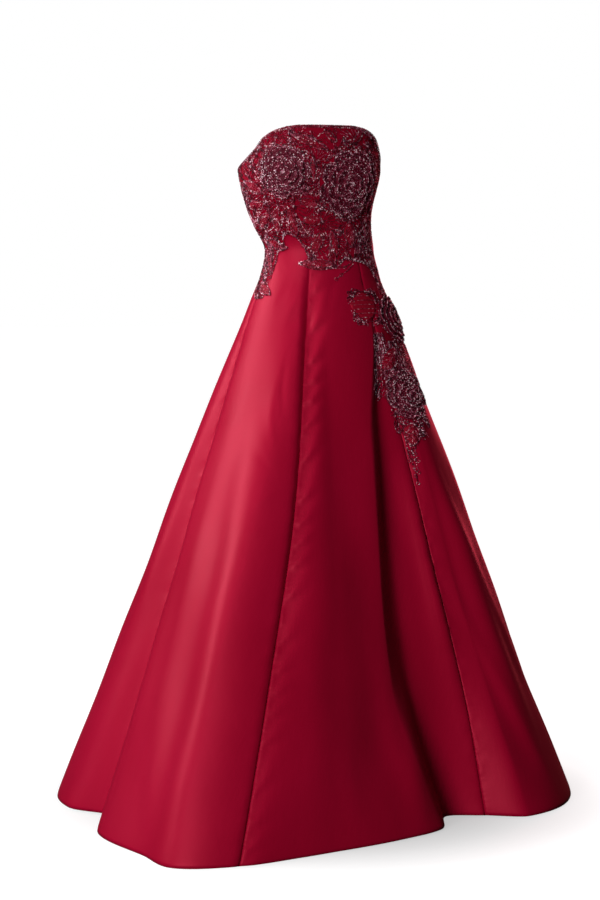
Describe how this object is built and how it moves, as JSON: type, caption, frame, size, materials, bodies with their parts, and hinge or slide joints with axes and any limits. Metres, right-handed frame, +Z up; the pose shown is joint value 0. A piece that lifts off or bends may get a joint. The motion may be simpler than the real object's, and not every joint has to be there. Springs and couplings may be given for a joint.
{
  "type": "strapless ball gown",
  "caption": "Floor-length strapless princess-line gown in heavy satin with a fluted, folded skirt, a concealed back zip and raised beaded roses and leaves on bodice and hip.",
  "frame": {"origin": "centre of the waist, where the wearer holds the gown up", "axes": "+Z up the wearer's body, -Y out of the front, +X to the wearer's left"},
  "size_m": [1.1419, 1.0835, 1.4715],
  "materials": {
    "satin": "deep red heavy satin with a soft sheen",
    "beading": "close-set plum, grey and clear beads on red netting",
    "zip_tape": "closed red nylon coil",
    "zip_metal": "red lacquered slider and tab"
  },
  "bodies": {
    "gown": {"front_panel": "satin", "side_front_left": "satin", "side_back_left": "satin", "back_left": "satin", "back_right": "satin", "side_back_right": "satin", "side_front_right": "satin", "bust_rose_right": "beading", "bust_rose_left": "beading", "hip_rose_upper": "beading", "hip_rose_lower": "beading", "leaf_neckline_long": "beading", "leaf_neckline_centre": "beading", "leaf_neckline_left": "beading", "leaf_between_roses": "beading", "leaf_ribs_right": "beading", "leaf_ribs_front": "beading", "leaf_underarm_upper": "beading", "leaf_underarm_lower": "beading", "leaf_ribs_side": "beading", "leaf_ribs_middle": "beading", "leaf_ribs_inner": "beading", "leaf_waist_side": "beading", "leaf_waist_strip": "beading", "leaf_hip_right": "beading", "leaf_waist_centre": "beading", "leaf_waist_oval": "beading", "leaf_waist_front": "beading", "leaf_under_rose": "beading", "leaf_waist_left": "beading", "leaf_hip_broad": "beading", "leaf_hip_long": "beading", "leaf_hip_tail": "beading", "back_zip": "zip_tape", "zip_slider": "zip_metal"},
    "zip_tab": {"zip_pull": "zip_metal"}
  },
  "joints": [
    {"name": "zip_pull_swing", "type": "hinge", "parent": "gown", "child": "zip_tab", "pos_m": [-0.024, 0.1173, 0.14963], "axis": [1, 0, 0], "range_deg": [0, 150]}
  ]
}
